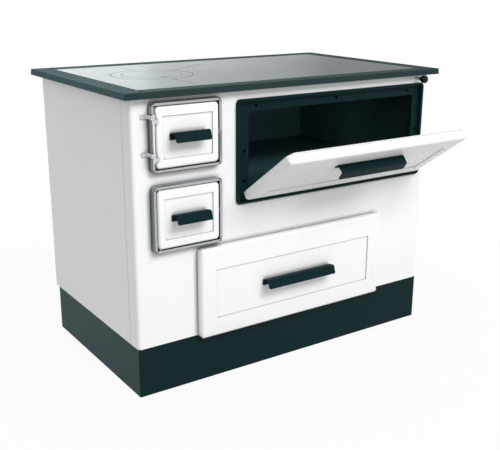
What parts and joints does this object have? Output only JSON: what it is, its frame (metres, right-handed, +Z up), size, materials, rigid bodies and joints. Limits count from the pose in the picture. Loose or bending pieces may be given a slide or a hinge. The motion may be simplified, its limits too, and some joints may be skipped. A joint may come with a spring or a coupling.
{
  "type": "wood cookstove",
  "caption": "Wood-fired range cooker: firebox and ash doors, drop-down oven door, wood drawer, damper rod and flat hob plate with a lift-out ring and lid.",
  "frame": {"origin": "on the floor, at the centre of the plinth's footprint", "axes": "+X to the right seen from the front, +Y towards the rear, +Z up"},
  "size_m": [1.131, 0.863, 0.8508],
  "materials": {
    "white_enamel": "glossy white vitreous enamel on steel",
    "anthracite_enamel": "satin anthracite enamel on steel",
    "hob_steel": "ground and polished steel cooking plate",
    "chromed_cast": "polished and chromed casting",
    "bright_steel": "bright turned steel",
    "dark_screw": "blackened steel",
    "oven_enamel": "dark speckled oven enamel",
    "zinc_sheet": "zinc-coated steel sheet",
    "black_sheet": "matt black heat-proof painted sheet",
    "cast_iron": "raw casting, sooty",
    "firebrick": "fired clay brick, matt",
    "insulation_board": "pressed mineral board, matt",
    "seal_rope": "woven glass rope",
    "knob_plastic": "glossy black moulding"
  },
  "bodies": {
    "body": {"plinth": "anthracite_enamel", "floor_panel": "zinc_sheet", "deck": "zinc_sheet", "front_panel": "white_enamel", "left_side_panel": "white_enamel", "right_side_panel": "white_enamel", "back_panel": "zinc_sheet", "top_frame": "anthracite_enamel", "top_frame_screws": "dark_screw", "hob_plate": "hob_steel", "oven_frame": "anthracite_enamel", "oven_frame_screws": "dark_screw", "oven_liner": "oven_enamel", "oven_back": "oven_enamel", "oven_hinge_lugs": "dark_screw", "rear_insulation": "insulation_board", "side_insulation": "insulation_board", "firebox_casing": "black_sheet", "firebrick_left": "firebrick", "firebrick_right": "firebrick", "firebrick_rear": "firebrick", "firebrick_front": "firebrick", "grate_frame": "cast_iron", "grate": "cast_iron", "ash_pan": "black_sheet", "firebox_door_frame": "chromed_cast", "ash_door_frame": "chromed_cast", "firebox_hinge_brackets": "chromed_cast", "firebox_hinge_rod": "bright_steel", "ash_door_pivots": "bright_steel", "door_catches": "bright_steel", "drawer_bay_walls": "zinc_sheet", "drawer_rails": "zinc_sheet", "flue_divider": "black_sheet", "bypass_baffle": "black_sheet", "damper_bush": "bright_steel", "flue_collar": "cast_iron", "flue_collar_screws": "dark_screw"},
    "oven_door": {"oven_door_shell": "white_enamel", "oven_door_liner": "white_enamel", "oven_door_seal": "seal_rope", "oven_door_handle": "anthracite_enamel", "oven_door_pins": "bright_steel"},
    "firebox_door": {"firebox_door_leaf": "white_enamel", "firebox_door_inner_plate": "cast_iron", "firebox_door_seal": "seal_rope", "firebox_door_handle": "anthracite_enamel"},
    "ash_door": {"ash_door_leaf": "white_enamel", "ash_door_inner_plate": "cast_iron", "ash_door_seal": "seal_rope", "ash_door_handle": "anthracite_enamel"},
    "wood_drawer": {"drawer_front": "white_enamel", "drawer_tray": "zinc_sheet", "drawer_handle": "anthracite_enamel", "drawer_runners": "bright_steel"},
    "damper": {"damper_rod": "bright_steel", "damper_knob": "knob_plastic", "damper_plate": "black_sheet"},
    "hob_ring": {"hob_ring": "hob_steel"},
    "hob_lid": {"hob_lid": "hob_steel"}
  },
  "joints": [
    {"name": "oven_door_hinge", "type": "hinge", "parent": "body", "child": "oven_door", "pos_m": [0.147, -0.3103, 0.5333], "axis": [1, 0, 0], "range_deg": [-55, 35]},
    {"name": "firebox_door_hinge", "type": "hinge", "parent": "body", "child": "firebox_door", "pos_m": [-0.473, -0.3185, 0.7295], "axis": [0, 0, -1], "range_deg": [0, 110]},
    {"name": "ash_door_hinge", "type": "hinge", "parent": "body", "child": "ash_door", "pos_m": [-0.4575, -0.3055, 0.51], "axis": [0, 0, -1], "range_deg": [0, 100]},
    {"name": "drawer_slide", "type": "slide", "parent": "body", "child": "wood_drawer", "axis": [0, -1, 0], "range_m": [0, 0.38]},
    {"name": "damper_slide", "type": "slide", "parent": "body", "child": "damper", "axis": [0, -1, 0], "range_m": [0, 0.11]},
    {"name": "hob_ring_lift", "type": "slide", "parent": "body", "child": "hob_ring", "axis": [0, 0, 1], "range_m": [0, 0.08]},
    {"name": "hob_lid_lift", "type": "slide", "parent": "hob_ring", "child": "hob_lid", "axis": [0, 0, 1], "range_m": [0, 0.08]}
  ]
}
